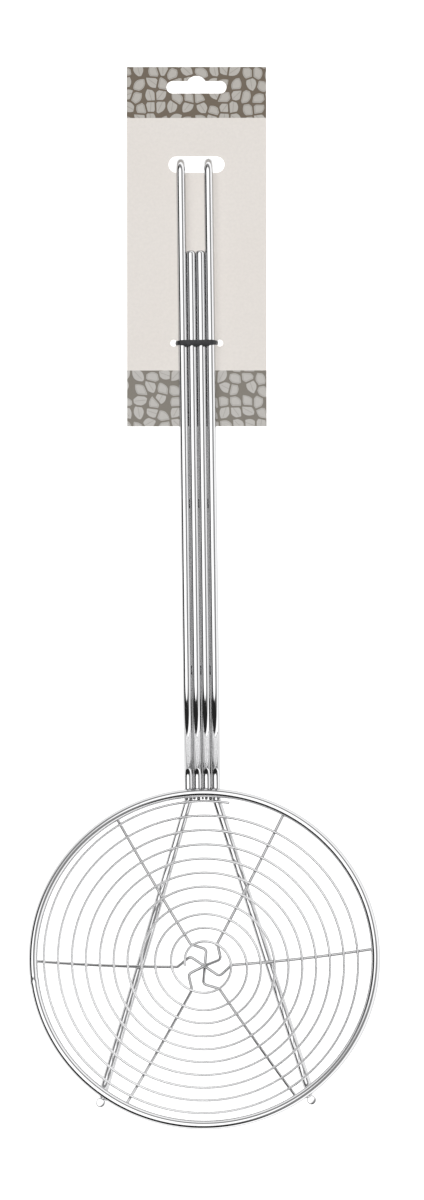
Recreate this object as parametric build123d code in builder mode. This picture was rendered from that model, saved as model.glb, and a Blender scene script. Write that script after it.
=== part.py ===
from build123d import *
from math import acos, asin, atan2, cos, hypot, radians, sin, sqrt, tan
import os

# Spider skimmer: a shallow basket wound from one spiral wire, on a handle of four parallel
# wires whose outer pair ends in a hook, hung on a card.
# It lies on its back with the basket opening upwards. The handle runs towards +Y, X is across
# it, and the origin is under the centre of the outline, on the surface that it lies on.

# Wires
frame_gauge = 4.7            # rim, outer wire and inner handle wires
spoke_gauge = 1.6
spiral_gauge = 1.4
weld_sink = 0.04             # how far wires that cross are pressed into each other at a weld
wire_gap = 0.06              # between neighbouring wires of the handle

# Basket
rim_diameter = 180.7         # over the outside of the rim wire
basket_depth = 20.4          # from the centre of the rim wire down to the spokes at the hub
near_slope = 2.57            # degrees between the dish and the ground at the near rim
seam_angle = 188.0           # degrees round the rim to its butt weld
seam_length = 2.6
seam_height = 0.16

# Spokes: three wires, each with an arm at two of these angles
spoke_angles = (2.6, 61.3, 120.6, 180.2, 241.8, 302.1)
hub_radius = 9.3             # where an arm turns out of the hub's straight stretch
hub_swirl = 37.0             # degrees that the straight stretch lags behind its arm
hub_exit = 14.0              # where an arm has turned into its radial line
hub_lead = 3.0               # straight length between that turn and the dish's curve
hub_bend = 2.2               # bend radius of the two turns
hub_hump_bend = 12.0         # bend radius where a wire humps over or under the next at the hub

# Spiral, wound outwards and clockwise as seen from above
spiral_first_top = 13.1      # radius of the first turn on the handle's side
spiral_first_bottom = 14.4   # radius of the first turn on the far side
spiral_turns = 10
spiral_tail_bend = 9.9       # bend radius between the tail and the first turn
spiral_tail_offset = 10.2    # from the hub out to the tail
spiral_last_arc = 9.4        # degrees that the spiral runs on past the handle's line
spiral_rim_gap = 0.6         # between the last turn and the inside of the rim

# Handle
crank_height = 24.0          # from the level wires under the rim up to the handle
crank_run = 29.9             # length that the slope between them takes along the handle
crank_to_rim = 11.8          # from the near rim to the foot of the slope
crank_foot_bend = 10.0
crank_head_bend = 42.0
hook_to_rim = 326.3          # from the near rim to the hook's uprights
hook_bend = 5.4              # bend radius at the top of the hook
hook_foot_bend = 7.0
hook_return = 38.0           # length of the leg that runs back under the handle
bridge_bend_share = 0.97     # bend radius at the hook's tip over the outer wires' half spacing
inner_top_to_rim = 280.5     # from the near rim to the inner wires' upper ends
inner_overhang = 2.9         # how far the inner wires run past the near rim
inner_end_round = 1.5        # rounding at the ends of the inner wires

# Arms that spread from the handle to the far rim
arm_overhang = 3.7           # how far the outer wires run past the near rim before they spread
arm_spread_bend = 12.0
arm_knee_bend = 60.0
arm_end_angle = 35.4         # degrees between the far point of the rim and an arm's end
arm_end_bend = 9.0
arm_end_rise = 1.2           # from the rim's centre up to the end of the arm
arm_end_round = 0.9          # rounding at the ends of the outer wire

# Tack welds under the handle
tack_places = (64.0, 150.0, 268.0)    # from the near rim
tack_radius = 0.9
tack_drop = 1.4              # from the centre of the wires down to the bead
tack_length = 5.0

# Card
card_width = 72.0
card_height = 185.6
card_thickness = 0.5
card_play = 0.05             # between the card and the wires
card_above_hook = 49.2       # from the hook's uprights to the card's top edge
card_turn = 0.65             # degrees that the card hangs askew of the handle, about the tie
euro_slot_width = 31.0
euro_slot_height = 6.4
euro_slot_drop = 10.5        # from the card's top edge to the middle of the slot
euro_dome_width = 9.3
euro_dome_height = 2.7
hook_slot_side_play = 4.95   # between the outer wires and the ends of the slot
hook_slot_play = 0.65        # between the hook and the slot's upper edge

# Tie
tie_width = 2.8
tie_thickness = 0.8
tie_below_hook = 93.4        # from the hook's uprights down to the tie
tie_hole_offset = 11.9       # from the middle of the card to each hole for the tie
tie_hole_play = 0.25
tie_back_bend = 0.7

# Places worked out from the sizes above
wire_pitch = frame_gauge + wire_gap
inner_x = wire_pitch / 2
outer_x = inner_x + wire_pitch
ground_z = frame_gauge / 2
handle_z = ground_z + crank_height

# The dish is a part of a sphere. Rim, spokes and spiral lie on three spheres with one centre,
# so that each wire seats on the next all over.
rim_radius = (rim_diameter - frame_gauge) / 2
spoke_seat = (frame_gauge + spoke_gauge) / 2 - weld_sink
spiral_seat = (spoke_gauge + spiral_gauge) / 2 - weld_sink
cap_depth = basket_depth - spoke_seat
dish_centre = (rim_radius**2 - cap_depth**2) / (2 * cap_depth)
rim_sphere = hypot(rim_radius, dish_centre)
spoke_sphere = rim_sphere + spoke_seat
spiral_sphere = spoke_sphere - spiral_seat
rim_slope = asin(rim_radius / rim_sphere)

# The basket tips towards the handle until the dish is nearly level at the near rim, which
# lies on the four wires. All places along the handle are measured from there.
tilt = rim_slope - radians(near_slope)
near_rim_z = ground_z + frame_gauge - weld_sink
far_reach = 2 * rim_radius * cos(tilt) + frame_gauge / 2
card_skew = radians(card_turn)
card_over_tie = card_above_hook + tie_below_hook
top_corner_over_tie = card_over_tie * cos(card_skew) + card_width / 2 * sin(card_skew)
card_reach = hook_to_rim - tie_below_hook + top_corner_over_tie
near_rim_y = (far_reach - card_reach) / 2
rim_y = near_rim_y - rim_radius * cos(tilt)
rim_z = near_rim_z + rim_radius * sin(tilt)
dish = Plane(origin=(0, rim_y, rim_z), x_dir=(1, 0, 0), z_dir=(0, sin(tilt), cos(tilt)))


def sphere_height(radius, sphere):
    """Height of one of the spheres over the rim's plane, at some distance from its axis."""
    return dish_centre - sqrt(sphere**2 - radius**2)


def dish_point(radius, angle, height=0):
    """A point by its distance from the dish's axis, its angle round it and its height."""
    flat = (radius * cos(radians(angle)), radius * sin(radians(angle)), height)
    return dish.from_local_coords(flat)


def on_sphere(radius, angle, sphere):
    """A point of one of the spheres."""
    return dish_point(radius, angle, sphere_height(radius, sphere))


def round_wire(path, gauge):
    """Carries a round section along a path, inside the current part."""
    with BuildSketch(Plane(origin=path @ 0, z_dir=path % 0)) as section:
        Circle(gauge / 2)
    sweep(sections=section.sketch, path=path)


# Rim: a ring with a slight bead at its butt weld
with BuildPart() as rim_ring:
    with BuildSketch(Plane(origin=dish_point(rim_radius, 0), z_dir=dish.y_dir)):
        Circle(frame_gauge / 2)
    revolve(axis=Axis(dish.origin, dish.z_dir))
    seam_foot = dish_point(rim_radius, seam_angle)
    seam_out = (seam_foot - dish.origin).normalized()
    seam_plane = Plane(origin=seam_foot, x_dir=dish.z_dir.cross(seam_out), z_dir=dish.z_dir)
    with BuildSketch(seam_plane):
        with BuildLine():
            seam_arc = ThreePointArc(
                (-seam_length / 2, frame_gauge / 2 - seam_height),
                (0, frame_gauge / 2 + seam_height),
                (seam_length / 2, frame_gauge / 2 - seam_height),
            )
            Polyline(seam_arc @ 1, (seam_length / 2, 0), (-seam_length / 2, 0), seam_arc @ 0)
        make_face()
    revolve(axis=Axis(seam_foot, seam_plane.x_dir))


# Spokes: each wire humps over or under the next at the hub, turns out of the hub's star into
# its radial line, and follows the dish until it lies under the rim.
def spoke_arm(angle):
    """Corners of one arm from the hub outwards, and the middle and end of its curve."""
    curve_start = hub_exit + hub_lead
    start_slope = asin(curve_start / spoke_sphere)
    outward = (dish_point(rim_radius, angle) - dish.origin).normalized()
    rising = outward * cos(start_slope) + dish.z_dir * sin(start_slope)
    swirl = on_sphere(hub_radius, angle - hub_swirl, spoke_sphere)
    start = on_sphere(curve_start, angle, spoke_sphere)
    middle = on_sphere(spoke_sphere * sin((start_slope + rim_slope) / 2), angle, spoke_sphere)
    end = on_sphere(spoke_sphere * sin(rim_slope), angle, spoke_sphere)
    return [swirl, start - rising * hub_lead, start], middle, end


def spoke(first_angle, second_angle, level):
    """One spoke wire from rim to rim, level steps above or below the middle of the hub."""
    first, first_middle, first_end = spoke_arm(first_angle)
    second, second_middle, second_end = spoke_arm(second_angle)
    corners = first[::-1] + second
    bends = [hub_bend] * 4
    if level != 0:
        cut = hub_hump_bend * (hypot(1, spoke_gauge / hub_radius) - 1)
        star_height = sphere_height(hub_radius, spoke_sphere)
        hump = dish_point(0, 0, star_height + level * (spoke_gauge + cut))
        corners.insert(len(first), hump)
        bends.insert(len(first) - 1, hub_hump_bend)
    with BuildLine() as line:
        ThreePointArc(first_end, first_middle, first[-1])
        FilletPolyline(*corners, radius=bends)
        ThreePointArc(second[-1], second_middle, second_end)
    round_wire(line.wire(), spoke_gauge)


hub_levels = (0, 1, -1)
spokes = []
for number, hub_level in enumerate(hub_levels):
    with BuildPart() as one_spoke:
        spoke(spoke_angles[number], spoke_angles[number + len(hub_levels)], hub_level)
    spokes.append(one_spoke)

# Spiral: half circles between the handle's side and the far side of the hub. Each one starts
# and ends square to that line, so the wire runs smoothly from one into the next.
spiral_reach = rim_radius - (frame_gauge + spiral_gauge) / 2 - spiral_rim_gap
spiral_pitch = (spiral_reach - spiral_first_top) / spiral_turns


def crossing(number):
    """Where the spiral crosses the handle's line for the nth time."""
    turn, far_side = divmod(number, 2)
    radius = spiral_first_top + spiral_pitch * (turn + far_side / 2)
    if number == 1:
        radius = spiral_first_bottom
    angle = -90 if far_side else 90
    return on_sphere(radius, angle, spiral_sphere)


with BuildPart() as spiral:
    with BuildLine() as spiral_line:
        first_top = crossing(0)
        FilletPolyline(
            on_sphere(spiral_tail_offset, 180, spiral_sphere),
            first_top - dish.x_dir * spiral_tail_offset,
            first_top,
            radius=spiral_tail_bend,
        )
        for half in range(2 * spiral_turns):
            begin, finish = crossing(half), crossing(half + 1)
            side = 1 if half % 2 == 0 else -1
            bulge = dish.x_dir * side * (finish - begin).length / 2
            ThreePointArc(begin, (begin + finish) / 2 + bulge, finish)
        last, beyond = crossing(2 * spiral_turns), crossing(2 * spiral_turns + 1)
        last_centre = (last + beyond) / 2
        last_arm = last - last_centre
        across = dish.x_dir * last_arm.length
        last_middle, last_end = [
            last_centre + last_arm * cos(radians(angle)) + across * sin(radians(angle))
            for angle in (spiral_last_arc / 2, spiral_last_arc)
        ]
        ThreePointArc(last, last_middle, last_end)
    round_wire(spiral_line.wire(), spiral_gauge)

# Outer wire: up one arm, along the handle, over the hook, round its tip and back down
crank_foot_y = near_rim_y + crank_to_rim
crank_head_y = crank_foot_y + crank_run
hook_y = near_rim_y + hook_to_rim
hook_tip_y = hook_y - hook_return
arm_start_y = near_rim_y - arm_overhang

# An arm's end stands upright against the outside of the rim, whose outline from above is an
# ellipse. Its foot is where the arm, which rises parallel to the rim, comes under it.
end_angle = radians(arm_end_angle)
rim_out = Vector(cos(tilt) * sin(end_angle), -cos(end_angle), 0).normalized()
rim_touch = Vector(
    rim_radius * sin(end_angle),
    rim_y - rim_radius * cos(end_angle) * cos(tilt),
    rim_z + rim_radius * cos(end_angle) * sin(tilt),
)
arm_end = rim_touch + rim_out * (frame_gauge - weld_sink)
arm_spread = (arm_end.X - outer_x) / (arm_start_y - arm_end.Y)

# The rising arm seats under the two spokes that run straight across the basket.
cross_x = outer_x + arm_spread * (arm_start_y - rim_y + basket_depth * sin(tilt))
cross_slope = asin(cross_x / spoke_sphere)
cross_turn = arm_spread * cos(tilt)
arm_seat = spoke_seat * hypot(1, tan(cross_slope) * hypot(1, cross_turn))
arm_drop = arm_seat - sphere_height(cross_x, spoke_sphere)


def arm_height(y):
    """Height of a rising arm's centre at some place along the handle."""
    return near_rim_z + (near_rim_y - y) * tan(tilt) - arm_drop / cos(tilt)


arm_knee_y = near_rim_y - (arm_drop / cos(tilt) + ground_z - near_rim_z) / tan(tilt)
arm_knee_x = outer_x + arm_spread * (arm_start_y - arm_knee_y)


def outer_side(side):
    """Corners of the outer wire on one side, from the arm's end to the hook's tip."""
    x = side * outer_x
    return [
        (side * arm_end.X, arm_end.Y, arm_end.Z + arm_end_rise),
        (side * arm_end.X, arm_end.Y, arm_height(arm_end.Y)),
        (side * arm_knee_x, arm_knee_y, ground_z),
        (x, arm_start_y, ground_z),
        (x, crank_foot_y, ground_z),
        (x, crank_head_y, handle_z),
        (x, hook_y, handle_z),
        (x, hook_y, ground_z),
        (x, hook_tip_y, ground_z),
    ]


outer_bends = [
    arm_end_bend,
    arm_knee_bend,
    arm_spread_bend,
    crank_foot_bend,
    crank_head_bend,
    hook_bend,
    hook_foot_bend,
    outer_x * bridge_bend_share,
]
with BuildPart() as outer_wire:
    with BuildLine() as outer_line:
        outer_corners = outer_side(1) + outer_side(-1)[::-1]
        FilletPolyline(*outer_corners, radius=outer_bends + outer_bends[::-1])
    round_wire(outer_line.wire(), frame_gauge)
    end_faces = outer_wire.faces().filter_by(GeomType.PLANE)
    fillet(end_faces.edges(), arm_end_round)

# Inner wires: straight between the outer pair, with the same slope, ends rounded
inner_wires = {}
for name, side in (("left", -1), ("right", 1)):
    with BuildPart() as inner_wire:
        with BuildLine() as inner_line:
            FilletPolyline(
                (side * inner_x, near_rim_y - inner_overhang, ground_z),
                (side * inner_x, crank_foot_y, ground_z),
                (side * inner_x, crank_head_y, handle_z),
                (side * inner_x, near_rim_y + inner_top_to_rim, handle_z),
                radius=[crank_foot_bend, crank_head_bend],
            )
        round_wire(inner_line.wire(), frame_gauge)
        end_faces = inner_wire.faces().filter_by(GeomType.PLANE)
        fillet(end_faces.edges(), inner_end_round)
    inner_wires[name] = inner_wire

# Tack welds: beads that fill the valleys between the wires, on the underside of the handle
with BuildPart() as tack_welds:
    for place in tack_places:
        tack_start = near_rim_y + place - tack_length / 2
        with BuildSketch(Plane(origin=(0, tack_start, handle_z), z_dir=(0, 1, 0), x_dir=(1, 0, 0))):
            with Locations((-wire_pitch, tack_drop), (0, tack_drop), (wire_pitch, tack_drop)):
                Circle(tack_radius)
            with GridLocations(wire_pitch, 0, 4, 1):
                Circle(frame_gauge / 2, mode=Mode.SUBTRACT)
        extrude(amount=tack_length)

# Card: it lies against the underside of the handle, with the hook through its lower slot. It
# hangs a little askew, and places on it are measured from the tie.
card_top_z = handle_z - frame_gauge / 2 - card_play
tie_y = hook_y - tie_below_hook
card_plane = Plane(
    origin=(0, tie_y, card_top_z - card_thickness),
    x_dir=(cos(card_skew), -sin(card_skew), 0),
    z_dir=(0, 0, 1),
)
hook_slot_top = tie_below_hook + frame_gauge / 2 + hook_slot_play
hook_slot_bottom = tie_below_hook - hook_bend
hook_slot_height = hook_slot_top - hook_slot_bottom
hook_slot_width = 2 * (outer_x + frame_gauge / 2 + hook_slot_side_play)
tie_hole_radius = hypot(tie_width, tie_thickness) / 2 + tie_hole_play
euro_slot_y = card_over_tie - euro_slot_drop
with BuildPart() as hang_card:
    with BuildSketch(card_plane):
        with Locations((0, card_over_tie - card_height / 2)):
            Rectangle(card_width, card_height)
        with Locations((0, euro_slot_y)):
            SlotOverall(euro_slot_width, euro_slot_height, mode=Mode.SUBTRACT)
        dome_foot = euro_slot_y + euro_slot_height / 2
        with BuildLine():
            dome = ThreePointArc(
                (-euro_dome_width / 2, dome_foot),
                (0, dome_foot + euro_dome_height),
                (euro_dome_width / 2, dome_foot),
            )
            Polyline(
                dome @ 1,
                (euro_dome_width / 2, euro_slot_y),
                (-euro_dome_width / 2, euro_slot_y),
                dome @ 0,
            )
        make_face(mode=Mode.SUBTRACT)
        with Locations((0, (hook_slot_top + hook_slot_bottom) / 2)):
            SlotOverall(hook_slot_width, hook_slot_height, mode=Mode.SUBTRACT)
        with Locations((-tie_hole_offset, 0), (tie_hole_offset, 0)):
            Circle(tie_hole_radius, mode=Mode.SUBTRACT)
    extrude(amount=card_thickness)

# Tie: a flat band over the four wires, down through the two holes and across the card's back.
# Its sides leave the outer wires at a tangent and aim for the middle of the holes.
wrap_radius = (frame_gauge + tie_thickness) / 2
hole_right = tie_hole_offset - outer_x
hole_down = handle_z - (card_top_z - card_thickness / 2)
side_angle = acos(wrap_radius / hypot(hole_right, hole_down)) - atan2(hole_down, hole_right)
tie_top_x = outer_x + wrap_radius * (1 - sin(side_angle)) / cos(side_angle)
tie_top_z = handle_z + wrap_radius
tie_back_z = card_top_z - card_thickness - tie_thickness / 2
tie_back_x = tie_top_x + (tie_top_z - tie_back_z) * tan(side_angle)
with BuildPart() as card_tie:
    with BuildLine() as tie_line:
        FilletPolyline(
            (-tie_top_x, tie_y, tie_top_z),
            (tie_top_x, tie_y, tie_top_z),
            (tie_back_x, tie_y, tie_back_z),
            (-tie_back_x, tie_y, tie_back_z),
            radius=[wrap_radius, wrap_radius, tie_back_bend, tie_back_bend],
            close=True,
        )
    tie_loop = tie_line.wire()
    with BuildSketch(Plane(origin=tie_loop @ 0, x_dir=(0, 1, 0), z_dir=tie_loop % 0)):
        Rectangle(tie_width, tie_thickness)
    sweep(path=tie_loop)

pieces = {
    "outer_wire": outer_wire,
    "inner_wire_left": inner_wires["left"],
    "inner_wire_right": inner_wires["right"],
    "rim_ring": rim_ring,
    "spoke_across": spokes[0],
    "spoke_rising": spokes[1],
    "spoke_falling": spokes[2],
    "spiral": spiral,
    "tack_welds": tack_welds,
    "hang_card": hang_card,
    "card_tie": card_tie,
}
os.makedirs("parts", exist_ok=True)
for name, piece in pieces.items():
    piece.part.label = name
    export_step(piece.part, f"parts/{name}.step")
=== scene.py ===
from math import acos, asin, atan2, cos, hypot, pi, radians, sin, sqrt, tan

import bpy
import numpy as np
from mathutils import Matrix, Vector


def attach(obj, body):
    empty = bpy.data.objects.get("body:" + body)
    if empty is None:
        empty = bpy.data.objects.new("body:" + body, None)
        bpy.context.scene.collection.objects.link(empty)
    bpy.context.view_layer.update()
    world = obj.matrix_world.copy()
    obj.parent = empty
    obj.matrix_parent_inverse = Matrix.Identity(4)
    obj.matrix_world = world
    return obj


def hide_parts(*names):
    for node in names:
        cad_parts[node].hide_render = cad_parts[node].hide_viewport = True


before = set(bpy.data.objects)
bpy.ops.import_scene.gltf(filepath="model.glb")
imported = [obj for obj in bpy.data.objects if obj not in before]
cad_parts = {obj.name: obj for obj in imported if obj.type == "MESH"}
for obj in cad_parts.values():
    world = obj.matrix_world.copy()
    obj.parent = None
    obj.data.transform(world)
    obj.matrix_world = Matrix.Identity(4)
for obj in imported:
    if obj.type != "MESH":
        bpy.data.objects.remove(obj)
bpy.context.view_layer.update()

# A wire skimmer on a hang card. The wires are worked out again from the sizes of the packed
# model, as finer tubes. Every length here is in metres, and the angles of the model are in
# degrees.
mm = 0.001

# Wires
frame_gauge = 4.7 * mm
spoke_gauge = 1.6 * mm
spiral_gauge = 1.4 * mm
weld_sink = 0.04 * mm            # how far wires that cross are pressed into each other
wire_gap = 0.06 * mm             # between neighbouring wires of the handle
frame_end_round = 0.45 * mm
thin_end_round = 0.3 * mm

# Basket
rim_diameter = 180.7 * mm
basket_depth = 20.4 * mm
near_slope = 2.57                # between the dish and the ground at the near rim
seam_angle = 188.0               # round the rim to its butt weld
seam_length = 2.6 * mm
seam_height = 0.16 * mm
seam_dip = seam_height / 3
seam_dip_away = 1.6              # from the weld to the dip, over half the weld's length
seam_dip_focus = 6               # how much narrower than the weld the dip is, squared

# Spokes
spoke_angles = (2.6, 61.3, 120.6, 180.2, 241.8, 302.1)
hub_radius = 9.3 * mm
hub_swirl = 37.0                 # that the hub's straight stretch lags behind its arm
hub_exit = 14.0 * mm
hub_lead = 3.0 * mm
hub_bend = 2.2 * mm
hub_hump_bend = 12.0 * mm
hub_levels = (0, 1, -1)          # each wire's level at the hub, counted in its gauge

# Spiral
spiral_first_top = 13.1 * mm
spiral_first_bottom = 14.4 * mm
spiral_turns = 10
spiral_tail_bend = 9.9 * mm
spiral_tail_offset = 10.2 * mm
spiral_last_arc = 9.4
spiral_rim_gap = 0.6 * mm

# Handle and arms
crank_height = 24.0 * mm
crank_run = 29.9 * mm
crank_to_rim = 11.8 * mm
crank_foot_bend = 10.0 * mm
crank_head_bend = 42.0 * mm
hook_to_rim = 326.3 * mm
hook_bend = 5.4 * mm
hook_foot_bend = 7.0 * mm
hook_return = 38.0 * mm
bridge_bend_share = 0.97
inner_top_to_rim = 280.5 * mm
inner_overhang = 2.9 * mm
inner_end_round = 1.5 * mm
arm_overhang = 3.7 * mm
arm_spread_bend = 12.0 * mm
arm_knee_bend = 60.0 * mm
arm_end_angle = 35.4
arm_end_bend = 9.0 * mm
arm_end_rise = 1.2 * mm

# Welds. A squareness of 1 keeps a bead round, and a smaller one makes it boxy.
tack_places = (64.0 * mm, 150.0 * mm, 268.0 * mm)
tack_radius = 0.9 * mm
tack_drop = 1.4 * mm
tack_length = 5.0 * mm
tack_squareness = 0.8
nugget_size = (0.95 * mm, 1.0 * mm, 0.5 * mm)
nugget_squareness = 0.9
seat_size = (1.7 * mm, 1.7 * mm, 0.8 * mm)
arm_weld_size = (1.7 * mm, 0.8 * mm, 1.7 * mm)
seat_squareness = 0.85
row_beads = 9
row_width = 16.5 * mm
row_overhang = 3.1 * mm
row_height = 4.3 * mm
row_size = np.array((0.8, 0.75, 0.6)) * mm
row_squareness = 0.9
row_swing = 2.2                  # radians from one bead to the next
row_shift = 0.12 * mm
row_uneven = 0.2

# Card and its print
card_height = 185.6 * mm
card_width = 72.0 * mm
card_turn = 0.65                 # that the card hangs askew of the handle, about the tie
card_thickness = 0.5 * mm
card_play = 0.05 * mm
card_above_hook = 49.2 * mm
top_band = 26.3 * mm
bottom_band = 28.8 * mm
motif_pitch = 6.3 * mm
motif_scatter = 0.5
motif_gap = 0.42 * mm
leaf_length = 8.6 * mm
leaf_width = 5.2 * mm
leaf_inset = 0.5 * mm
rib_end_share = 0.3              # half the rib's length over the leaf's, where it starts to fade
rib_fade_share = 0.34            # and where it has faded
ribbed_share = 0.5               # of the leaves, which have a rib and no line inside the edge
line_width = 0.14 * mm
line_depth = 0.55
print_edge = 0.1 * mm

# Tie
tie_width = 2.8 * mm
tie_thickness = 0.8 * mm
tie_below_hook = 93.4 * mm
tie_back_bend = 0.7 * mm
tie_reach = 10.7 * mm            # from the middle to where the tie enters the card
tie_edge_power = 0.35            # rounding of the section: 1 is round and 0 is square
tie_face_power = 0.5
tie_ridge_width = 0.45 * mm
tie_hollow_share = 0.3
tie_taper = 0.25
droop_reach = 1.15 * mm
tie_droop = 0.9 * mm
tie_dip = 0.35 * mm

# How finely the surfaces are cut
frame_step = 2.5 * mm
thin_step = 1.5 * mm
rim_step = 0.8 * mm
tie_step = 0.5 * mm
arc_turn = radians(5)            # the most that an arc turns from one ring to the next
end_rings = 4
frame_sides = 36
thin_sides = 16
tie_sides = 40
bead_sides = 12
bead_rows = 7

# Places that follow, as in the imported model
wire_pitch = frame_gauge + wire_gap
inner_x = wire_pitch / 2
outer_x = inner_x + wire_pitch
valley_places = (-wire_pitch, 0, wire_pitch)
ground_z = frame_gauge / 2
handle_z = ground_z + crank_height
rim_radius = (rim_diameter - frame_gauge) / 2
spoke_seat = (frame_gauge + spoke_gauge) / 2 - weld_sink
spiral_seat = (spoke_gauge + spiral_gauge) / 2 - weld_sink
cap_depth = basket_depth - spoke_seat
dish_centre = (rim_radius**2 - cap_depth**2) / (2 * cap_depth)
rim_sphere = hypot(rim_radius, dish_centre)
spoke_sphere = rim_sphere + spoke_seat
spiral_sphere = spoke_sphere - spiral_seat
rim_slope = asin(rim_radius / rim_sphere)
tilt = rim_slope - radians(near_slope)
near_rim_z = ground_z + frame_gauge - weld_sink
far_reach = 2 * rim_radius * cos(tilt) + frame_gauge / 2
card_skew = radians(card_turn)
card_over_tie = card_above_hook + tie_below_hook
top_corner_over_tie = card_over_tie * cos(card_skew) + card_width / 2 * sin(card_skew)
near_rim_y = (far_reach - hook_to_rim + tie_below_hook - top_corner_over_tie) / 2
rim_y = near_rim_y - rim_radius * cos(tilt)
rim_z = near_rim_z + rim_radius * sin(tilt)
dish_origin = np.array((0, rim_y, rim_z))
dish_x = np.array((1, 0, 0))
dish_y = np.array((0, cos(tilt), -sin(tilt)))
dish_z = np.array((0, sin(tilt), cos(tilt)))
spiral_reach = rim_radius - (frame_gauge + spiral_gauge) / 2 - spiral_rim_gap
spiral_pitch = (spiral_reach - spiral_first_top) / spiral_turns
tie_y = near_rim_y + hook_to_rim - tie_below_hook
print_shift = (tie_y * sin(card_skew), -tie_y * cos(card_skew), 0)    # puts 0 at the tie
band_top = card_over_tie - top_band
band_bottom = card_over_tie - card_height + bottom_band


def dish_point(radius, angle, height=0.0):
    """A point by its distance from the dish's axis, its angle round it and its height."""
    turn = radians(angle)
    flat = radius * cos(turn) * dish_x + radius * sin(turn) * dish_y
    return dish_origin + flat + height * dish_z


def sphere_height(radius, sphere):
    """Height of one of the spheres over the rim's plane, at some distance from its axis."""
    return dish_centre - sqrt(sphere**2 - radius**2)


def on_sphere(radius, angle, sphere):
    """A point of one of the spheres."""
    return dish_point(radius, angle, sphere_height(radius, sphere))


# Paths: a wire's centre line is a list of straight runs and arcs
def unit(vector):
    """A vector, or each row of an array of them, at length 1."""
    return vector / np.linalg.norm(vector, axis=-1, keepdims=True)


def turned(vector, axis, angles):
    """A vector turned about an axis by each angle: the part along the axis stays, and the rest
    goes round."""
    angles = np.reshape(angles, (-1, 1))
    along = axis * np.dot(vector, axis)
    return along + np.cos(angles) * (vector - along) + np.sin(angles) * np.cross(axis, vector)


def run(start, end):
    """A straight stretch."""
    return {"start": np.array(start, float), "end": np.array(end, float)}


def arc(centre, start, axis, angle):
    """A stretch of a circle: the start turned about an axis through the centre."""
    centre, start = np.array(centre, float), np.array(start, float)
    return {"centre": centre, "start": start, "axis": unit(axis), "angle": angle}


def arc_through(start, middle, end):
    """The arc through three points. Its centre is as far from all three."""
    first, second = middle - start, end - start
    axis = np.cross(first, second)
    to_centre = np.dot(first, first) * np.cross(second, axis)
    to_centre = to_centre + np.dot(second, second) * np.cross(axis, first)
    centre = start + to_centre / (2 * np.dot(axis, axis))
    arm, last = unit(start - centre), unit(end - centre)
    angle = atan2(np.dot(np.cross(arm, last), unit(axis)), np.dot(arm, last)) % (2 * pi)
    return arc(centre, start, axis, angle)


def rounded(corners, bends):
    """Runs between corners, each corner cut by an arc that touches both runs: the arc starts
    bend / tan(half the inner angle) before the corner, and its centre is on the bisector."""
    corners = [np.array(c, float) for c in corners]
    place, parts = corners[0], []
    for before, corner, after, bend in zip(corners, corners[1:], corners[2:], bends):
        back, ahead = unit(before - corner), unit(after - corner)
        half = acos(np.clip(np.dot(back, ahead), -1, 1)) / 2
        begin = corner + back * bend / tan(half)
        centre = corner + unit(back + ahead) * bend / sin(half)
        parts += [run(place, begin), arc(centre, begin, np.cross(ahead, back), pi - 2 * half)]
        place = corner + ahead * bend / tan(half)
    return parts + [run(place, corners[-1])]


def lengths_along(points):
    """How far along a row of points each of them is."""
    steps = np.linalg.norm(np.diff(points, axis=0), axis=1)
    return np.concatenate(([0], np.cumsum(steps)))


def centre_line(parts, up, run_step, arc_step):
    """Points, tangents, normals and lengths along a path. On a run they are evenly spaced. On an
    arc the point, the tangent and the normal all turn about the arc's axis."""
    points, tangents, normals = [], [], []
    for number, part in enumerate(parts):
        if "end" in part:
            reach = part["end"] - part["start"]
            steps = max(1, round(np.linalg.norm(reach) / run_step))
            share = np.linspace(0, 1, steps + 1).reshape(-1, 1)
            tangent = unit(reach)
            up = unit(up - tangent * np.dot(up, tangent))
            places = part["start"] + share * reach
            heading, upward = (np.tile(way, (steps + 1, 1)) for way in (tangent, up))
        else:
            arm, axis, angle = part["start"] - part["centre"], part["axis"], part["angle"]
            length = abs(angle) * np.linalg.norm(arm)
            steps = max(2, round(length / arc_step), round(abs(angle) / arc_turn))
            angles = np.linspace(0, angle, steps + 1)
            tangent = unit(np.cross(axis, arm))
            up = unit(up - tangent * np.dot(up, tangent))
            places = part["centre"] + turned(arm, axis, angles)
            heading, upward = (turned(way, axis, angles) for way in (tangent, up))
        up = upward[-1]
        # The first point of each later part is the last one of the part before.
        first = min(number, 1)
        points.append(places[first:])
        tangents.append(heading[first:])
        normals.append(upward[first:])
    points, tangents, normals = (np.concatenate(rows) for rows in (points, tangents, normals))
    return points, tangents, normals, lengths_along(points)


# Meshes
def new_object(name, data):
    """An object in the scene."""
    made = bpy.data.objects.new(name, data)
    bpy.context.scene.collection.objects.link(made)
    return made


def add_mesh(name, vertices, faces, uvs, material, nodes):
    """Puts arrays into a smooth mesh that rides on the frame and stands for the given nodes."""
    mesh = bpy.data.meshes.new(name)
    mesh.from_pydata(vertices.tolist(), [], faces)
    layer = mesh.uv_layers.new(name="along_wire")
    layer.data.foreach_set("uv", np.asarray(uvs, np.float32).ravel())
    mesh.polygons.foreach_set("use_smooth", np.ones(len(mesh.polygons), bool))
    mesh.materials.append(material)
    mesh.validate()
    mesh.update()
    piece = new_object(name, mesh)
    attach(piece, "root")
    if nodes:
        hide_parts(*nodes)


def grid_faces(rows, columns, close_rows):
    """Corner numbers of the quads of a grid that is closed round its columns, and the row and
    the column of each corner, where the last row and column count on past the seam."""
    row = np.arange(rows if close_rows else rows - 1)
    column = np.arange(columns)
    row, column = (g.ravel() for g in np.meshgrid(row, column, indexing="ij"))
    rows_at = np.stack((row, row, row + 1, row + 1), axis=1)
    columns_at = np.stack((column, column + 1, column + 1, column), axis=1)
    faces = (rows_at % rows) * columns + columns_at % columns
    return faces, rows_at, columns_at


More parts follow.
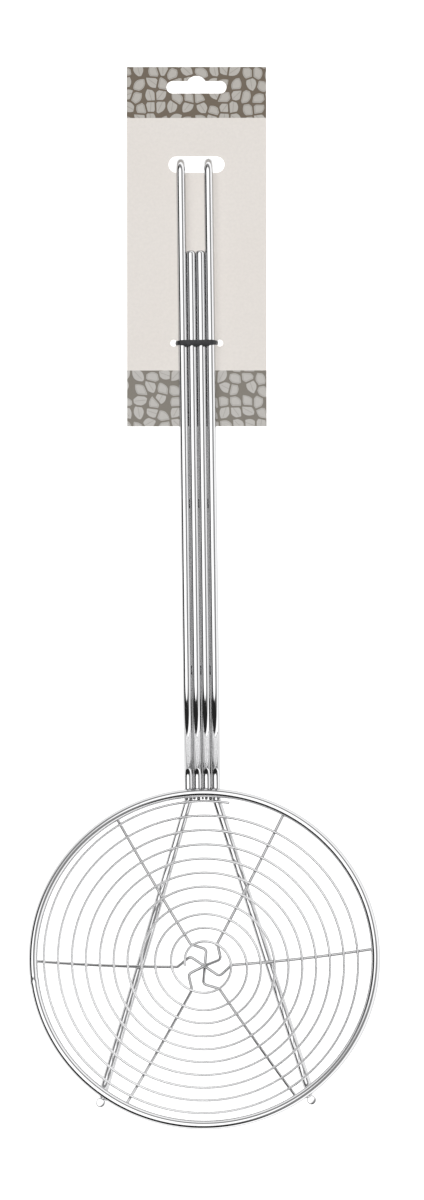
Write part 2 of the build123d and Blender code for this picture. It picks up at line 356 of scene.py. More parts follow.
def fan(pole, ring, backwards):
    """Triangles from a pole to a ring of corners, taken along the ring or backwards."""
    after = np.roll(ring, -1)
    near, far = (after, ring) if backwards else (ring, after)
    return np.stack((np.full(len(ring), pole), near, far), axis=1)


def with_ends(rows):
    """Rows with the first and the last of them repeated for the rings of the rounded ends."""
    first, last = (np.tile(row, (end_rings, 1)) for row in (rows[0], rows[-1]))
    return np.concatenate((first, rows, last))


def tube(
    name, parts, gauge, sides, end_round, material, slot, nodes,
    up=(0, 0, 1), steps=(frame_step, frame_step), swell=None, closed=False,
):
    """A round section carried along a path: centre + radius * (cos * side + sin * normal). Open
    ends are rounded by rings of a quarter circle and closed by a pole."""
    points, tangents, normals, lengths = centre_line(parts, np.array(up, float), *steps)
    if closed:
        points, tangents, normals = points[:-1], tangents[:-1], normals[:-1]
    radii = np.full(len(points), gauge / 2)
    if swell is not None:
        radii = radii + swell(lengths[: len(points)])
    if not closed:
        quarter = np.linspace(0, pi / 2, end_rings + 1)[1:]
        end_radii = gauge / 2 - end_round * (1 - np.cos(quarter))
        reach = end_round * (np.sin(quarter) - 1)
        first = points[0] - np.outer(reach, tangents[0])
        last = points[-1] + np.outer(reach, tangents[-1])
        points[0] += tangents[0] * end_round
        points[-1] -= tangents[-1] * end_round
        points = np.concatenate((first[::-1], points, last))
        tangents, normals = with_ends(tangents), with_ends(normals)
        radii = np.concatenate((end_radii[::-1], radii, end_radii))
        lengths = lengths_along(points)
    side = np.cross(tangents, normals)
    angle = (-np.arange(sides) * 2 * pi / sides)[None, :, None]
    ring = np.cos(angle) * side[:, None, :] + np.sin(angle) * normals[:, None, :]
    surface = points[:, None, :] + radii[:, None, None] * ring
    quads, rows_at, columns_at = grid_faces(len(points), sides, closed)
    uvs = np.stack((lengths[rows_at], columns_at / sides * pi * gauge), axis=2).reshape(-1, 2)
    vertices, faces = surface.reshape(-1, 3), quads.tolist()
    if not closed:
        pole = len(vertices)
        around = np.arange(sides)
        ends = np.stack((surface[0].mean(axis=0), surface[-1].mean(axis=0)))
        vertices = np.concatenate((vertices, ends))
        faces += fan(pole, around, True).tolist()
        faces += fan(pole + 1, pole - sides + around, False).tolist()
        end_uvs = [np.tile((along, 0), (3 * sides, 1)) for along in (0, lengths[-1])]
        uvs = np.concatenate([uvs] + end_uvs)
    add_mesh(name, vertices, faces, uvs, material, nodes)


def beads(name, centres, axes, sizes, squareness, material, nodes=()):
    """Rounded beads: a unit ball whose points are pushed out towards a box, by the power that
    squareness gives, scaled by three sizes along three axes and put at each centre."""
    across = np.arange(bead_sides) * 2 * pi / bead_sides
    down = np.linspace(0, pi, bead_rows + 2)[1:-1]
    level, turn = np.meshgrid(down, across, indexing="ij")
    flat = np.sin(level)
    ball = np.stack((flat * np.cos(turn), flat * np.sin(turn), np.cos(level)), axis=2)
    ball = np.sign(ball) * np.abs(ball) ** squareness
    ball = np.concatenate((ball.reshape(-1, 3), [(0, 0, 1), (0, 0, -1)]))
    pole = bead_rows * bead_sides
    around = np.arange(bead_sides)
    quads = grid_faces(bead_rows, bead_sides, False)[0][:, ::-1]
    tops = fan(pole, around, False)
    feet = fan(pole + 1, pole - bead_sides + around, True)
    centres, axes, sizes = (np.asarray(a, float) for a in (centres, axes, sizes))
    scaled = ball[None, :, :] * sizes[:, None, :]
    vertices = centres[:, None, :] + np.einsum("bpk,bkc->bpc", scaled, axes)
    shift = np.arange(len(centres))[:, None, None] * len(ball)
    faces = []
    for kind in (quads, tops, feet):
        faces += (kind[None] + shift).reshape(-1, kind.shape[1]).tolist()
    uvs = np.zeros((len(centres) * (quads.size + tops.size + feet.size), 2))
    add_mesh(name, vertices.reshape(-1, 3), faces, uvs, material, nodes)


# Colours and shader nodes
def print_colour(code):
    """A colour from its six hex digits, as light: the curve of common screens, taken back."""
    shares = [int(code[at : at + 2], 16) / 255 for at in (0, 2, 4)]
    return [((s + 0.055) / 1.055) ** 2.4 if s > 0.04045 else s / 12.92 for s in shares] + [1.0]


class Maker:
    """Adds nodes to a material or a group, each with its sockets and settings."""

    def __init__(self, tree):
        self.tree = tree

    def feed(self, node, inputs):
        """Links or sets the named inputs of a node."""
        for name, value in inputs.items():
            socket = node.inputs[name]
            if isinstance(value, bpy.types.NodeSocket):
                self.tree.links.new(value, socket)
            else:
                socket.default_value = value

    def add(self, kind, inputs=None, **settings):
        node = self.tree.nodes.new(kind)
        for name, value in settings.items():
            setattr(node, name, value)
        self.feed(node, inputs or {})
        return node

    def math(self, operation, first, second=0.0, third=0.0, clamp=False):
        inputs = {0: first, 1: second, 2: third}
        node = self.add("ShaderNodeMath", inputs, operation=operation, use_clamp=clamp)
        return node.outputs[0]

    def linear(self, value, slope, base):
        return self.math("ADD", self.math("MULTIPLY", value, slope), base)

    def length(self, x, y):
        squares = self.math("ADD", self.math("POWER", x, 2.0), self.math("POWER", y, 2.0))
        return self.math("SQRT", squares)

    def mix(self, share, first, second, kind="RGBA"):
        inputs = {"Factor": share, "A": first, "B": second}
        return self.add("ShaderNodeMix", inputs, data_type=kind).outputs["Result"]

    def tint(self, share, codes):
        """A mix of two colours given by their hex digits."""
        return self.mix(share, *(print_colour(code) for code in codes))

    def soft_step(self, value, low, high):
        inputs = {"Value": value, "From Min": low, "From Max": high}
        node = self.add("ShaderNodeMapRange", inputs, interpolation_type="SMOOTHSTEP")
        return node.outputs["Result"]

    def noise(self, place, scale, detail):
        inputs = {"Vector": place, "Scale": scale, "Detail": detail}
        return self.add("ShaderNodeTexNoise", inputs).outputs["Fac"]

    def bump(self, height, distance, strength):
        inputs = {"Height": height, "Distance": distance, "Strength": strength}
        return self.add("ShaderNodeBump", inputs).outputs["Normal"]

    def object_place(self):
        return self.add("ShaderNodeTexCoord").outputs["Object"]

    def split(self, vector):
        return self.add("ShaderNodeSeparateXYZ", {"Vector": vector}).outputs


def new_material(name):
    """A material with a Principled shader, and the Maker for its nodes."""
    material = bpy.data.materials.new(name)
    material.use_nodes = True
    material.node_tree.nodes.clear()
    maker = Maker(material.node_tree)
    shader = maker.add("ShaderNodeBsdfPrincipled")
    maker.add("ShaderNodeOutputMaterial", {"Surface": shader.outputs[0]})
    return material, maker, shader


# Wire finish: how often its patterns come back in a metre, and what they do
line_scale = (60, 6000, 1)       # along the wire, round it and through it
line_noise = (1.0, 3.0)          # of each noise, its scale and its detail
wave_noise = (55.0, 1.0)
speck_noise = (900.0, 2.0)
speck_start, speck_full = 0.70, 0.78
line_tone = 0.12
line_roughness = 0.12
speck_roughness = 0.3
line_height = 0.04
speck_height = 0.1
finish_height = 0.3 * mm
blue_share = 1.01                # the plate's blue over its red and green


def wire_finish():
    """Group: drawn and plated wire. Fine lines run along the wire, with slow waves in the plate
    and a few specks. It puts out a colour, a roughness and a normal."""
    group = bpy.data.node_groups.new("wire_finish", "ShaderNodeTree")
    sockets = group.interface
    for name in ("Tone", "Roughness", "Lines", "Waves", "Specks"):
        sockets.new_socket(name, in_out="INPUT", socket_type="NodeSocketFloat")
    sockets.new_socket("Colour", in_out="OUTPUT", socket_type="NodeSocketColor")
    sockets.new_socket("Roughness", in_out="OUTPUT", socket_type="NodeSocketFloat")
    sockets.new_socket("Normal", in_out="OUTPUT", socket_type="NodeSocketVector")
    maker = Maker(group)
    given = maker.add("NodeGroupInput").outputs
    along = maker.add("ShaderNodeUVMap", uv_map="along_wire").outputs["UV"]
    place = maker.object_place()
    stretched = maker.add("ShaderNodeMapping", {"Vector": along, "Scale": line_scale}).outputs[0]
    lines = maker.noise(stretched, *line_noise)
    waves = maker.noise(place, *wave_noise)
    specks = maker.noise(place, *speck_noise)
    speck = maker.soft_step(specks, speck_start, speck_full)
    speck = maker.math("MULTIPLY", speck, given["Specks"])
    tone = maker.math("MULTIPLY", given["Tone"], maker.math("SUBTRACT", 1.0, speck))
    lined = maker.math("MULTIPLY", maker.math("SUBTRACT", lines, 0.5), given["Lines"])
    tone = maker.math("ADD", tone, maker.math("MULTIPLY", lined, line_tone))
    blue = maker.math("MULTIPLY", tone, blue_share)
    colour = maker.add("ShaderNodeCombineColor", {"Red": tone, "Green": tone, "Blue": blue})
    rough = maker.math("ADD", given["Roughness"], maker.math("MULTIPLY", lined, line_roughness))
    speckled = maker.math("MULTIPLY", speck, speck_roughness)
    rough = maker.math("ADD", rough, speckled, clamp=True)
    waved = maker.math("MULTIPLY", waves, given["Waves"])
    height = maker.math("ADD", maker.math("MULTIPLY", lined, line_height), waved)
    height = maker.math("SUBTRACT", height, maker.math("MULTIPLY", speck, speck_height))
    normal = maker.bump(height, finish_height, 1.0)
    results = {"Colour": colour.outputs[0], "Roughness": rough, "Normal": normal}
    maker.add("NodeGroupOutput", results)
    return group


finish_group = wire_finish()


def plated(name, **strengths):
    """A chromed material that takes its colour, roughness and normal from the wire finish."""
    material, maker, shader = new_material(name)
    given = {socket.capitalize(): value for socket, value in strengths.items()}
    finish = maker.add("ShaderNodeGroup", given, node_tree=finish_group).outputs
    maker.feed(shader, {"Metallic": 1.0, "Base Color": finish["Colour"]})
    maker.feed(shader, {"Roughness": finish["Roughness"], "Normal": finish["Normal"]})
    return material


bright_chrome = plated(
    "bright_chrome", tone=0.52, roughness=0.08, lines=0.3, waves=0.02, specks=0.2
)
thin_chrome = plated("thin_chrome", tone=0.37, roughness=0.16, lines=0.4, waves=0.04, specks=0.2)
satin_chrome = plated("satin_chrome", tone=0.56, roughness=0.28, lines=0.4, waves=0.04, specks=0.2)
weld_metal = plated("weld_metal", tone=0.52, roughness=0.28, lines=0.2, waves=1.0, specks=0.6)
# Dark weld metal: its low tone is painted shade, standing in for the shadow and dark reflection at
# the wire ends inside the near rim.
weld_painted_shade = plated("weld_painted_shade", tone=0.18, roughness=0.35, lines=0.2, waves=1.2, specks=0.8)


def leaf_mask(maker, on_card):
    """Where the pattern's pale ink lies. Each cell of a scattered grid holds one leaf, turned
    its own way. Its depth at a point is the half width there, which falls off with the square
    of the distance from the leaf's middle, less the distance from the rib, and it stops short
    of the cell's edge. Ink lies where the depth is over zero, less a thin line inside the edge
    or, on some leaves, along the rib."""
    grid = {"Vector": on_card, "Scale": 1 / motif_pitch, "Randomness": motif_scatter}
    cells = maker.add("ShaderNodeTexVoronoi", grid, voronoi_dimensions="2D").outputs
    edges = maker.add(
        "ShaderNodeTexVoronoi", grid, voronoi_dimensions="2D", feature="DISTANCE_TO_EDGE"
    ).outputs
    from_middle = maker.add(
        "ShaderNodeVectorMath", {0: on_card, 1: cells["Position"]}, operation="SUBTRACT"
    ).outputs[0]
    chance = maker.add("ShaderNodeSeparateColor", {"Color": cells["Color"]}).outputs
    turn = maker.math("MULTIPLY", chance["Red"], 2 * pi)
    spun = maker.add(
        "ShaderNodeVectorRotate", {"Vector": from_middle, "Angle": turn}, rotation_type="Z_AXIS"
    ).outputs[0]
    local = maker.split(spun)
    off_rib = maker.math("ABSOLUTE", local["X"])
    along = maker.math("ABSOLUTE", local["Y"])
    share = maker.math("POWER", maker.math("DIVIDE", along, leaf_length / 2), 2.0)
    half_width = maker.math("MULTIPLY", maker.math("SUBTRACT", 1.0, share), leaf_width / 2)
    depth = maker.math("SUBTRACT", half_width, off_rib)
    to_edge = maker.math("MULTIPLY", edges["Distance"], motif_pitch)
    depth = maker.math("MINIMUM", depth, maker.math("SUBTRACT", to_edge, motif_gap))
    leaf = maker.soft_step(depth, 0.0, print_edge)
    from_inset = maker.math("ABSOLUTE", maker.math("SUBTRACT", depth, leaf_inset))
    inset, rib = (
        maker.soft_step(away, line_width / 2, line_width / 2 + print_edge)
        for away in (from_inset, off_rib)
    )
    past_rib = maker.soft_step(along, leaf_length * rib_end_share, leaf_length * rib_fade_share)
    rib = maker.math("MAXIMUM", rib, past_rib)
    ribbed = maker.math("GREATER_THAN", chance["Green"], ribbed_share)
    line = maker.mix(ribbed, inset, rib, "FLOAT")
    return maker.math("MULTIPLY", leaf, maker.linear(line, line_depth, 1 - line_depth))


# Card stock and ink. Of two colours of the print, the second is the upper band's.
ground_codes = ("7d7870", "665c50")
leaf_codes = ("bcb9b5", "b5b1ab")
paper_codes = ("e4dfda", "e2dcd6")
edge_codes = ("b9b4ab", "cdc9c1")
fibre_noise = (700.0, 5.0)
cloud_noise = (30.0, 2.0)
fibre_shade = 0.12
least_shade = 0.94
fibre_gloss = 0.2
paper_roughness = 0.45
fibre_height = 0.03 * mm
fibre_strength = 0.5
side_facing, top_facing = 0.4, 0.6


def printed_card():
    """Pale card with a patterned band at each end. The print is on the upper face only, and the
    cut edges show the grey core."""
    material, maker, shader = new_material("printed_card")
    place = maker.object_place()
    on_card = maker.add(
        "ShaderNodeMapping",
        {"Vector": place, "Location": print_shift, "Rotation": (0, 0, card_skew)},
        vector_type="POINT",
    ).outputs[0]
    fibres = maker.noise(place, *fibre_noise)
    cloud = maker.noise(place, *cloud_noise)
    motif = leaf_mask(maker, on_card)
    along = maker.split(on_card)["Y"]
    upper = maker.soft_step(along, band_top - print_edge, band_top)
    lower = maker.soft_step(along, band_bottom + print_edge, band_bottom)
    band = maker.math("MAXIMUM", upper, lower)
    banded = maker.mix(motif, maker.tint(upper, ground_codes), maker.tint(upper, leaf_codes))
    printed = maker.mix(band, maker.tint(cloud, paper_codes), banded)
    grain = maker.linear(fibres, fibre_shade, least_shade)
    shade = maker.add("ShaderNodeVectorMath", {0: printed, 3: grain}, operation="SCALE")
    facing = maker.split(maker.add("ShaderNodeNewGeometry").outputs["Normal"])
    on_top = maker.soft_step(facing["Z"], side_facing, top_facing)
    colour = maker.mix(on_top, maker.tint(fibres, edge_codes), shade.outputs[0])
    rough = maker.linear(fibres, fibre_gloss, paper_roughness)
    normal = maker.bump(fibres, fibre_height, fibre_strength)
    maker.feed(shader, {"Base Color": colour, "Roughness": rough, "Normal": normal})
    return material


# Plastic of the tie. Its second colour is that of the scuffs.
plastic_codes = ("17181a", "2b2d2f")
grain_noise = (2500.0, 3.0)
scuff_noise = (500.0, 4.0)
scuff_start, scuff_full = 0.55, 0.75
grain_gloss = 0.25
plastic_roughness = 0.4
grain_height = 0.05 * mm
grain_strength = 0.4


def matte_black():
    """Matte black plastic with a fine grain and pale scuffs scattered by a noise."""
    material, maker, shader = new_material("matte_black")
    place = maker.object_place()
    grain = maker.noise(place, *grain_noise)
    scuff = maker.noise(place, *scuff_noise)
    colour = maker.tint(maker.soft_step(scuff, scuff_start, scuff_full), plastic_codes)
    rough = maker.linear(grain, grain_gloss, plastic_roughness)
    normal = maker.bump(grain, grain_height, grain_strength)
    maker.feed(shader, {"Base Color": colour, "Roughness": rough, "Normal": normal})
    return material


card_print = printed_card()
tie_black = matte_black()


# Pieces of the basket
def frame_wire(name, path, end_round, node, **ways):
    """A wire of the frame: the rim, the outer wire or an inner one."""
    finish = (bright_chrome, "frame_wire")
    tube(name, path, frame_gauge, frame_sides, end_round, *finish, [node], **ways)


def basket_wire(name, path, gauge, material, node):
    """A thin wire of the basket: a spoke or the spiral."""
    finish = (material, "basket_wire")
    ways = {"up": dish_z, "steps": (thin_step, thin_step)}
    tube(name, path, gauge, thin_sides, thin_end_round, *finish, [node], **ways)


def make_rim():
    """The rim ring: its gauge swells a little at the butt weld, by a bell curve, and dips beside
    the weld by a narrower one."""
    seam_at = 2 * pi * rim_radius * seam_angle / 360

    def swell(lengths):
        away = np.abs(lengths - seam_at) / (seam_length / 2)
        dip = seam_dip * np.exp(-((away - seam_dip_away) ** 2) * seam_dip_focus)
        return seam_height * np.exp(-(away**2)) - dip

    ring = [arc(dish_origin, dish_point(rim_radius, 0), dish_z, 2 * pi)]
    ways = {"up": dish_z, "steps": (thin_step, rim_step), "swell": swell, "closed": True}
    frame_wire("rim_ring_wire", ring, 0, "rim_ring", **ways)


def spoke_arm(angle):
    """Corners of one arm from the hub outwards, and the arc that follows the dish."""
    curve_start = hub_exit + hub_lead
    start_slope = asin(curve_start / spoke_sphere)
    outward = unit(dish_point(rim_radius, angle) - dish_origin)
    rising = outward * cos(start_slope) + dish_z * sin(start_slope)
    swirl = on_sphere(hub_radius, angle - hub_swirl, spoke_sphere)
    start = on_sphere(curve_start, angle, spoke_sphere)
    middle = on_sphere(spoke_sphere * sin((start_slope + rim_slope) / 2), angle, spoke_sphere)
    end = on_sphere(spoke_sphere * sin(rim_slope), angle, spoke_sphere)
    return [swirl, start - rising * hub_lead, start], middle, end


def make_spokes():
    """Three wires, each from rim to rim, that cross at the hub on three levels."""
    nodes = ("spoke_across", "spoke_rising", "spoke_falling")
    for number, (node, level) in enumerate(zip(nodes, hub_levels)):
        first, first_middle, first_end = spoke_arm(spoke_angles[number])
        second, second_middle, second_end = spoke_arm(spoke_angles[number + len(nodes)])
        corners = first[::-1] + second
        bends = [hub_bend] * (len(corners) - 2)
        if level != 0:
            cut = hub_hump_bend * (hypot(1, spoke_gauge / hub_radius) - 1)
            star_height = sphere_height(hub_radius, spoke_sphere)
            hump = dish_point(0, 0, star_height + level * (spoke_gauge + cut))
            corners.insert(len(first), hump)
            bends.insert(len(bends) // 2, hub_hump_bend)
        path = [arc_through(first_end, first_middle, first[-1])]
        path += rounded(corners, bends)
        path += [arc_through(second[-1], second_middle, second_end)]
        basket_wire(node + "_wire", path, spoke_gauge, thin_chrome, node)


def crossing(number):
    """Where the spiral crosses the handle's line for the nth time."""
    turn, far_side = divmod(number, 2)
    radius = spiral_first_top + spiral_pitch * (turn + far_side / 2)
    if number == 1:
        radius = spiral_first_bottom
    return on_sphere(radius, -90 if far_side else 90, spiral_sphere)


def make_spiral():
    """One wire: a straight tail, half circles between the crossings, and a short last arc."""
    first_top = crossing(0)
    tail = on_sphere(spiral_tail_offset, 180, spiral_sphere)
    tail_corner = first_top - dish_x * spiral_tail_offset
    path = rounded([tail, tail_corner, first_top], [spiral_tail_bend])
    for half in range(2 * spiral_turns):
        begin, finish = crossing(half), crossing(half + 1)
        bulge = dish_x * (1 if half % 2 == 0 else -1) * np.linalg.norm(finish - begin) / 2
        path.append(arc_through(begin, (begin + finish) / 2 + bulge, finish))
    last, beyond = crossing(2 * spiral_turns), crossing(2 * spiral_turns + 1)
    last_centre = (last + beyond) / 2
    last_axis = np.cross(last - last_centre, dish_x)
    path.append(arc(last_centre, last, last_axis, radians(spiral_last_arc)))
    basket_wire("spiral_wire", path, spiral_gauge, satin_chrome, "spiral")


def make_crossing_welds():
    """A flat nugget wherever the spiral lies on a spoke. A half circle of radius r whose centre
    is y up the handle's line crosses a spoke at y * sin(angle) + sqrt(r^2 - (y * cos(angle))^2)."""
    centres, axes = [], []
    contact = spoke_sphere - spoke_gauge / 2
    for angle in spoke_angles:
        turn = radians(angle)
        outward = cos(turn) * dish_x + sin(turn) * dish_y
        around = cos(turn) * dish_y - sin(turn) * dish_x
        first_half = 0 if cos(turn) > 0 else 1
        for half in range(first_half, 2 * spiral_turns, 2):
            ends = [np.dot(crossing(n) - dish_origin, dish_y) for n in (half, half + 1)]
            middle, radius = sum(ends) / 2, abs(ends[0] - ends[1]) / 2
            reach = middle * sin(turn) + sqrt(radius**2 - (middle * cos(turn)) ** 2)
            slope = asin(reach / contact)
            rising = outward * cos(slope) + dish_z * sin(slope)
            upward = dish_z * cos(slope) - outward * sin(slope)
            centres.append(on_sphere(reach, angle, contact))
            axes.append((rising, around, upward))
    sizes = [nugget_size] * len(centres)
    beads("crossing_welds", centres, axes, sizes, nugget_squareness, weld_metal)


# Pieces of the handle
crank_foot_y = near_rim_y + crank_to_rim
crank_head_y = crank_foot_y + crank_run
hook_y = near_rim_y + hook_to_rim
hook_tip_y = hook_y - hook_return
arm_start_y = near_rim_y - arm_overhang
end_turn = radians(arm_end_angle)
rim_out = unit(np.array((cos(tilt) * sin(end_turn), -cos(end_turn), 0)))
rim_touch = np.array((
    rim_radius * sin(end_turn),
    rim_y - rim_radius * cos(end_turn) * cos(tilt),
    rim_z + rim_radius * cos(end_turn) * sin(tilt),
))
arm_end = rim_touch + rim_out * (frame_gauge - weld_sink)
arm_spread = (arm_end[0] - outer_x) / (arm_start_y - arm_end[1])
cross_x = outer_x + arm_spread * (arm_start_y - rim_y + basket_depth * sin(tilt))
cross_slope = asin(cross_x / spoke_sphere)
arm_seat = spoke_seat * hypot(1, tan(cross_slope) * hypot(1, arm_spread * cos(tilt)))
arm_drop = arm_seat - sphere_height(cross_x, spoke_sphere)
arm_foot_z = near_rim_z + (near_rim_y - arm_end[1]) * tan(tilt) - arm_drop / cos(tilt)
arm_knee_y = near_rim_y - (arm_drop / cos(tilt) + ground_z - near_rim_z) / tan(tilt)
arm_knee_x = outer_x + arm_spread * (arm_start_y - arm_knee_y)


def make_outer_wire():
    """One wire: up an arm, along the handle, over the hook, round its tip and back."""
    def half(side):
        x = side * outer_x
        return [
            (side * arm_end[0], arm_end[1], arm_end[2] + arm_end_rise),
            (side * arm_end[0], arm_end[1], arm_foot_z),
            (side * arm_knee_x, arm_knee_y, ground_z),
            (x, arm_start_y, ground_z),
            (x, crank_foot_y, ground_z),
            (x, crank_head_y, handle_z),
            (x, hook_y, handle_z),
            (x, hook_y, ground_z),
            (x, hook_tip_y, ground_z),
        ]

    bends = [arm_end_bend, arm_knee_bend, arm_spread_bend, crank_foot_bend, crank_head_bend]
    bends += [hook_bend, hook_foot_bend, outer_x * bridge_bend_share]
    path = rounded(half(1) + half(-1)[::-1], bends + bends[::-1])
    frame_wire("outer_wire_bent", path, frame_end_round, "outer_wire", up=(1, 0, 0))


def make_inner_wires():
    """Two wires between the outer pair, with the same slope and rounded ends."""
    for node, side in (("inner_wire_left", -1), ("inner_wire_right", 1)):
        x = side * inner_x
        corners = [
            (x, near_rim_y - inner_overhang, ground_z),
            (x, crank_foot_y, ground_z),
            (x, crank_head_y, handle_z),
            (x, near_rim_y + inner_top_to_rim, handle_z),
        ]
        path = rounded(corners, [crank_foot_bend, crank_head_bend])
        frame_wire(node + "_bent", path, inner_end_round, node)


def make_tack_welds():
    """Three beads side by side at each of three places under the handle."""
    bead_z = handle_z - tack_drop
    places = [(x, near_rim_y + y, bead_z) for y in tack_places for x in valley_places]
    axes = [np.eye(3)] * len(places)
    sizes = [(tack_radius, tack_length / 2, tack_radius)] * len(places)
    beads("tack_beads", places, axes, sizes, tack_squareness, weld_metal, ["tack_welds"])


def make_seat_welds():
    """Beads where the rim sits on the four handle wires, and where the arms meet the rim."""
    places, axes, sizes = [], [], []
    for x in (-outer_x, -inner_x, inner_x, outer_x):
        places.append((x, near_rim_y, ground_z + frame_gauge / 2 - weld_sink / 2))
        axes.append(np.eye(3))
        sizes.append(seat_size)
    for side in (-1, 1):
        mirror = np.array((side, 1, 1))
        out = rim_out * mirror
        places.append((rim_touch + rim_out * (frame_gauge - weld_sink) / 2) * mirror)
        axes.append((np.cross((0, 0, 1), out), out, (0, 0, 1)))
        sizes.append(arm_weld_size)
    beads("seat_welds", places, axes, sizes, seat_squareness, weld_metal)


def make_weld_row():
    """A row of small uneven beads squeezed out inside the near rim, where the wires end. Their dark
    tone is painted shade, standing in for the shadow and dark reflection at the wire ends. Their
    sizes and places swing about the mean by a sine of their number."""
    number = np.arange(row_beads)
    swing = np.sin(number * row_swing)
    x = (number / (row_beads - 1) - 0.5) * row_width + swing * row_shift
    y = np.full(row_beads, near_rim_y - row_overhang) + swing[::-1] * row_shift
    centres = np.stack((x, y, np.full(row_beads, row_height)), axis=1)
    axes = [np.eye(3)] * row_beads
    sizes = row_size * (1 + row_uneven * np.cos(number * row_swing))[:, None]
    beads("weld_row", centres, axes, sizes, row_squareness, weld_painted_shade)


def boxed(share, power):
    """A sine or cosine pushed out towards 1 or -1."""
    return np.sign(share) * np.abs(share) ** power


def make_tie():
    """A flat band carried round a closed path across the wires, down and behind the card. Its
    section is a rounded bar with a low ridge along the middle of the outside. The band narrows
    towards its holes by a soft step of the distance from the middle. Its near edge droops into
    each valley between the wires by a bell curve of the distance from the valley."""
    card_top_z = handle_z - frame_gauge / 2 - card_play
    wrap = (frame_gauge + tie_thickness) / 2
    hole_right = tie_reach - outer_x
    hole_down = handle_z - (card_top_z - card_thickness / 2)
    lean = acos(wrap / hypot(hole_right, hole_down)) - atan2(hole_down, hole_right)
    top_x = outer_x + wrap * (1 - sin(lean)) / cos(lean)
    top_z = handle_z + wrap
    back_z = card_top_z - card_thickness - tie_thickness / 2
    back_x = top_x + (top_z - back_z) * tan(lean)
    turns = [(0, top_z), (top_x, top_z), (back_x, back_z), (-back_x, back_z), (-top_x, top_z)]
    corners = [(x, tie_y, z) for x, z in turns + turns[:1]]
    path = rounded(corners, [wrap, tie_back_bend, tie_back_bend, wrap])
    up = np.array((0, 0, 1.0))
    points, tangents, normals, lengths = centre_line(path, up, tie_step, tie_step)
    points, tangents, normals = points[:-1], tangents[:-1], normals[:-1]
    angle = -np.arange(tie_sides) * 2 * pi / tie_sides
    across = boxed(np.cos(angle), tie_edge_power) * tie_width / 2
    out = boxed(np.sin(angle), tie_face_power) * tie_thickness / 2
    ridge = (out > 0) * np.exp(-((across / tie_ridge_width) ** 2))
    out = out * (1 - tie_hollow_share * (out > 0) * (1 - ridge))
    off_middle = np.abs(points[:, 0])
    step = np.clip((off_middle - outer_x) / (tie_reach - outer_x), 0, 1)
    narrow = 1 - tie_taper * step * step * (3 - 2 * step)
    on_top = points[:, 2] > handle_z
    valleys = sum(np.exp(-(((points[:, 0] - x) / droop_reach) ** 2)) for x in valley_places)
    near_edge = np.clip(across / (tie_width / 2), 0, 1) ** 2
    droop = (on_top * valleys)[:, None] * near_edge[None, :]
    side = np.cross(tangents, normals)
    breadth = across[None, :] * narrow[:, None] + droop * tie_droop
    height = out[None, :] - droop * tie_dip
    surface = points[:, None, :] + breadth[:, :, None] * side[:, None, :]
    surface = surface + height[:, :, None] * normals[:, None, :]
    quads, rows_at, columns_at = grid_faces(len(points), tie_sides, True)
    uvs = np.stack((lengths[rows_at], columns_at / tie_sides * tie_width), axis=2)
    vertices, faces = surface.reshape(-1, 3), quads.tolist()
    add_mesh("card_tie_band", vertices, faces, uvs, tie_black, ["card_tie"])


def dress_card():
    """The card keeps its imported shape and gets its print."""
    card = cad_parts["hang_card"]
    card.data.materials.clear()
    card.data.materials.append(card_print)


make_rim()
make_spokes()
make_spiral()
make_crossing_welds()
make_outer_wire()
make_inner_wires()
make_tack_welds()
make_seat_welds()
make_weld_row()
make_tie()
dress_card()

# Floor, tent and lamps. The tent's places are parts of a normal, and its tones are strengths.
floor_width = 12.0
floor_shade = 0.12
floor_glow = 1.3
floor_z = -0.05 * mm
floor_roughness = 0.9
floor_gloss = 0.1
panel_x = -0.16
panel_y = 0.08
ring_y = 0.0
ring_inner = 0.27
ring_outer = 0.585
ring_soft = 0.02
ring_dark = 0.035
ring_pale = 0.44
pale_side = radians(42)
pale_full = 0.45
panel_white = 2.2
wall_white = 2.1
wall_pale = 1.85
ambient = 0.15
least_up = 0.0001                # so that nothing is divided by zero straight below
overhead_spread = radians(7)
overhead_power = 0.66
side_heading = (-0.75, 0.45, 1.0)
side_spread = radians(35)
side_power = 0.23


def make_floor():
    """A plain pale floor, well past the edges of the picture."""
    material, maker, shader = new_material("pale_floor")
    maker.feed(shader, {
        "Base Color": (floor_shade, floor_shade, floor_shade, 1),
        "Roughness": floor_roughness,
        "Specular IOR Level": floor_gloss,
        "Emission Color": (1, 1, 1, 1),
        "Emission Strength": floor_glow,
    })
    half = floor_width / 2
    plan = ((-half, -half), (half, -half), (half, half), (-half, half))
    mesh = bpy.data.meshes.new("floor")
    mesh.from_pydata([(x, y, floor_z) for x, y in plan], [], [(0, 1, 2, 3)])
    mesh.materials.append(material)
    floor = new_object("floor", mesh)


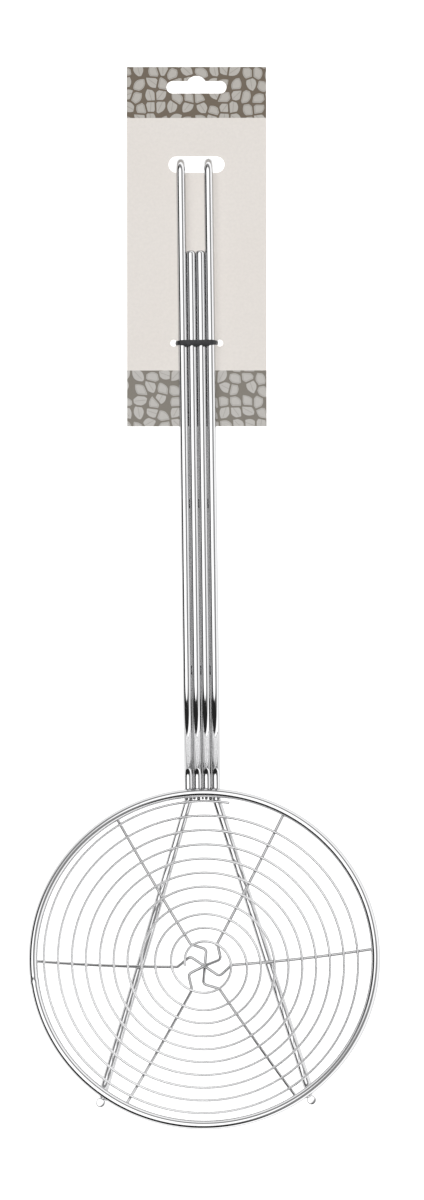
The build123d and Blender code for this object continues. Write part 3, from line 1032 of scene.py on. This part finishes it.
def make_world():
    """A white tent. What shines sees a lamp panel overhead, a darker ring of studio round it,
    and pale walls low down. What is matt sees an even dim white.
    The ring is drawn by the normal that would throw the light straight up: n = (d + up) / 2nz."""
    world = bpy.data.worlds.new("tent")
    bpy.context.scene.world = world
    world.use_nodes = True
    world.node_tree.nodes.clear()
    maker = Maker(world.node_tree)
    heading = maker.split(maker.add("ShaderNodeTexCoord").outputs["Generated"])
    half_up = maker.math("MULTIPLY", maker.math("ADD", heading["Z"], 1.0), 0.5)
    normal_z = maker.math("SQRT", maker.math("MAXIMUM", half_up, least_up))
    normal_x, normal_y = (
        maker.math("DIVIDE", maker.math("MULTIPLY", heading[way], 0.5), normal_z) for way in "XY"
    )
    off_x = maker.math("SUBTRACT", normal_x, panel_x)
    off_y = maker.math("SUBTRACT", normal_y, ring_y)
    from_panel = maker.length(off_x, maker.math("SUBTRACT", normal_y, panel_y))
    off = maker.length(off_x, off_y)
    inside = maker.soft_step(from_panel, ring_inner - ring_soft, ring_inner + ring_soft)
    outside = maker.soft_step(off, ring_outer - ring_soft, ring_outer + ring_soft)
    ring = maker.math("SUBTRACT", inside, outside)
    # The ring is dark over the near left half and paler over the far right half.
    lean_x = maker.math("MULTIPLY", off_x, cos(pale_side))
    lean = maker.math("ADD", lean_x, maker.math("MULTIPLY", off_y, sin(pale_side)))
    pale = maker.soft_step(maker.math("DIVIDE", lean, off), 0.0, pale_full)
    ring_tone = maker.linear(pale, ring_pale - ring_dark, ring_dark)
    wall = maker.linear(pale, wall_pale - wall_white, wall_white)
    beyond = maker.mix(outside, panel_white, wall, "FLOAT")
    tone = maker.mix(ring, beyond, ring_tone, "FLOAT")
    ray = maker.add("ShaderNodeLightPath").outputs
    seen = maker.mix(ray["Is Glossy Ray"], ambient, tone, "FLOAT")
    back = maker.add("ShaderNodeBackground", {"Color": (1, 1, 1, 1), "Strength": seen})
    maker.add("ShaderNodeOutputWorld", {"Surface": back.outputs[0]})


def make_lamps():
    """A soft lamp straight overhead, whose shadows hide under the wires, and a broader one from
    the upper left for the shadows beside them on the card."""
    for name, heading, spread, power in (
        ("overhead_lamp", (0.0, 0.0, 1.0), overhead_spread, overhead_power),
        ("side_lamp", side_heading, side_spread, side_power),
    ):
        light = bpy.data.lights.new(name, "SUN")
        light.angle = spread
        light.energy = power * pi
        lamp = new_object(name, light)
        lamp.rotation_euler = Vector(heading).to_track_quat("Z", "Y").to_euler()
        lamp.visible_glossy = False


# The camera looks straight down. It is placed by where the middle of the rim is in the frame.
frame_width_pixels = 424
frame_height_pixels = 1200
rim_pixel = (204.4, 956.6)
pixel_size = 0.5134 * mm
camera_height = 2.2
camera_roll = 0.72
camera_range = (0.1, 50)
sensor_width = 36.0


def make_camera():
    """The camera's own up leans by the roll, so that the handle leans left in the picture."""
    data = bpy.data.cameras.new("camera")
    data.sensor_width = sensor_width
    data.lens = sensor_width * camera_height / (pixel_size * frame_height_pixels)
    data.clip_start, data.clip_end = camera_range
    camera = new_object("camera", data)
    roll = radians(camera_roll)
    right = Vector((cos(roll), -sin(roll), 0))
    up = Vector((sin(roll), cos(roll), 0))
    back = Vector((0, 0, 1))
    across = (rim_pixel[0] - frame_width_pixels / 2) * pixel_size
    upward = (frame_height_pixels / 2 - rim_pixel[1]) * pixel_size
    place = Vector(dish_origin) - right * across - up * upward + back * camera_height
    turn = Matrix((right, up, back)).transposed().to_4x4()
    camera.matrix_world = Matrix.Translation(place) @ turn
    bpy.context.scene.camera = camera


make_floor()
make_world()
make_lamps()
make_camera()
bpy.context.scene.view_settings.view_transform = "Standard"
